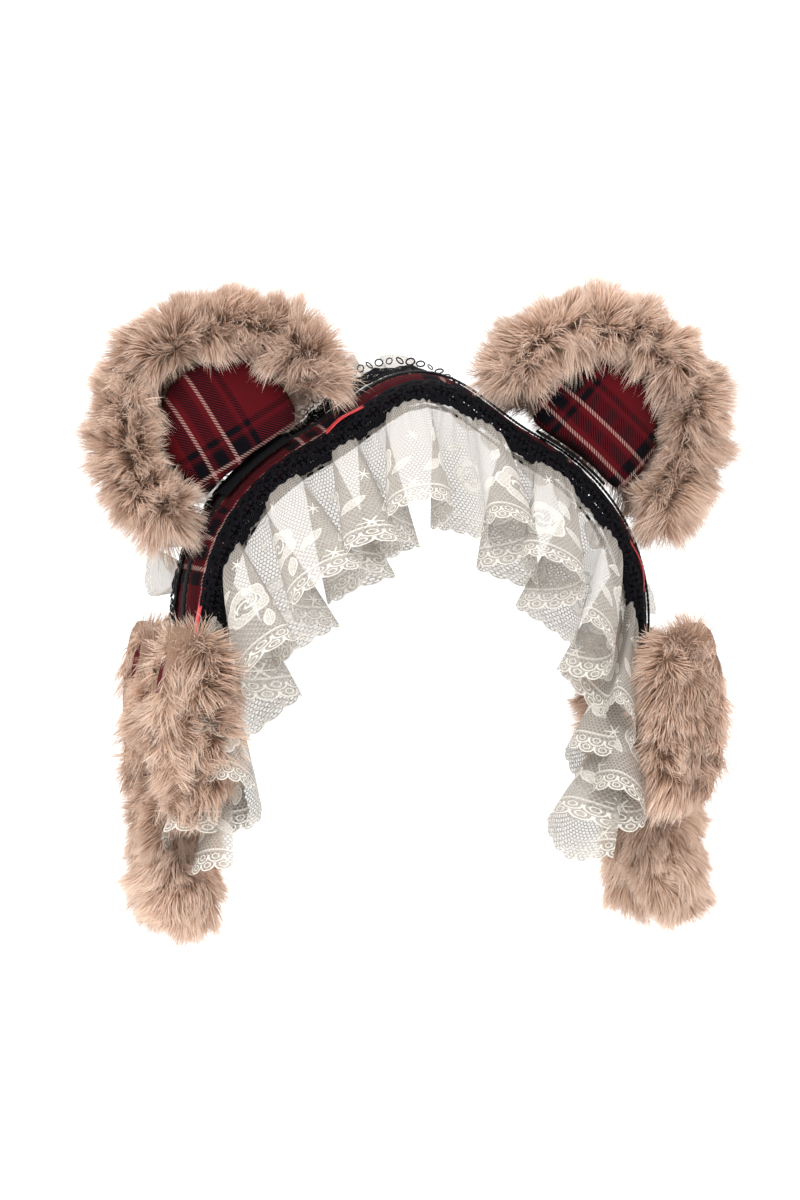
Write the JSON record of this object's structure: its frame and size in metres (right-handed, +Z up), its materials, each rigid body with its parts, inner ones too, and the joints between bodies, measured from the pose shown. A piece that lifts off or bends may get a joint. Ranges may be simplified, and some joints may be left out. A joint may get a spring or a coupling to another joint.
{
  "type": "animal ears headband",
  "caption": "Padded tartan headband with round fur ears, fur side bows, black lace edges and gathered ivory lace frills.",
  "frame": {"origin": "the top of the wearer's head: under the middle of the crown, level with the band's inner front edge", "axes": "+X across the head, +Y from the forehead to the back of the head, +Z up"},
  "size_m": [0.2307, 0.0993, 0.2257],
  "materials": {
    "fur": "long-pile faux fur, matt",
    "tartan": "brushed twill tartan, matt",
    "black_fabric": "black cotton lace, braid and lining, matt",
    "ivory_lace": "embroidered ivory net lace",
    "stuffing": "polyester wadding",
    "hoop_plastic": "black moulded plastic",
    "wire": "plain steel wire",
    "satin": "red satin",
    "felt": "black felt"
  },
  "bodies": {
    "headband": {"bow_left_backing_pad": "felt", "bow_right_backing_pad": "felt", "centre_braid": "black_fabric", "ear_left_base_pad": "felt", "ear_right_base_pad": "felt", "end_cap_left": "felt", "end_cap_right": "felt", "foam_padding": "stuffing", "front_black_lace": "black_fabric", "front_frill": "ivory_lace", "front_gathering_tape": "black_fabric", "hoop": "hoop_plastic", "lining": "black_fabric", "rear_black_lace": "black_fabric", "rear_frill": "ivory_lace", "rear_gathering_tape": "black_fabric", "satin_ribbon": "satin", "tartan_cover": "tartan"},
    "bow_left": {"bow_left_front_loop": "fur", "bow_left_front_stuffing": "stuffing", "bow_left_front_tartan_panel": "tartan", "bow_left_knot": "fur", "bow_left_rear_loop": "fur", "bow_left_rear_stuffing": "stuffing", "bow_left_rear_tartan_panel": "tartan"},
    "bow_left_front_tail": {"bow_left_front_tail": "fur"},
    "bow_left_rear_tail": {"bow_left_rear_tail": "fur"},
    "bow_right": {"bow_right_front_loop": "fur", "bow_right_front_stuffing": "stuffing", "bow_right_front_tartan_panel": "tartan", "bow_right_knot": "fur", "bow_right_rear_loop": "fur", "bow_right_rear_stuffing": "stuffing", "bow_right_rear_tartan_panel": "tartan"},
    "bow_right_front_tail": {"bow_right_front_tail": "fur"},
    "bow_right_rear_tail": {"bow_right_rear_tail": "fur"},
    "ear_left": {"ear_left_fur_back": "fur", "ear_left_fur_rim": "fur", "ear_left_stuffing": "stuffing", "ear_left_tartan_panel": "tartan", "ear_left_wire": "wire"},
    "ear_right": {"ear_right_fur_back": "fur", "ear_right_fur_rim": "fur", "ear_right_stuffing": "stuffing", "ear_right_tartan_panel": "tartan", "ear_right_wire": "wire"}
  },
  "joints": [
    {"name": "ear_left_rock", "type": "hinge", "parent": "headband", "child": "ear_left", "pos_m": [-0.06743, 0.00317, -0.01322], "axis": [0.848, 0, 0.5299], "range_deg": [-10, 10]},
    {"name": "ear_right_rock", "type": "hinge", "parent": "headband", "child": "ear_right", "pos_m": [0.06381, 0.00325, -0.01035], "axis": [0.7431, 0, -0.6691], "range_deg": [-10, 10]},
    {"name": "bow_left_turn", "type": "hinge", "parent": "headband", "child": "bow_left", "pos_m": [-0.08903, 0.00161, -0.11117], "axis": [1, 0, 0], "range_deg": [-6, 6]},
    {"name": "bow_left_front_tail_swing", "type": "hinge", "parent": "bow_left", "child": "bow_left_front_tail", "pos_m": [-0.08903, 0.00161, -0.13667], "axis": [0, 1, 0], "range_deg": [-5, 20]},
    {"name": "bow_left_rear_tail_swing", "type": "hinge", "parent": "bow_left", "child": "bow_left_rear_tail", "pos_m": [-0.08903, 0.00161, -0.13667], "axis": [0, 1, 0], "range_deg": [-5, 20]},
    {"name": "bow_right_turn", "type": "hinge", "parent": "headband", "child": "bow_right", "pos_m": [0.08903, 0.00161, -0.11117], "axis": [1, 0, 0], "range_deg": [-6, 6]},
    {"name": "bow_right_front_tail_swing", "type": "hinge", "parent": "bow_right", "child": "bow_right_front_tail", "pos_m": [0.08903, 0.00161, -0.13667], "axis": [0, -1, 0], "range_deg": [-5, 20]},
    {"name": "bow_right_rear_tail_swing", "type": "hinge", "parent": "bow_right", "child": "bow_right_rear_tail", "pos_m": [0.08903, 0.00161, -0.13667], "axis": [0, -1, 0], "range_deg": [-5, 20]}
  ]
}
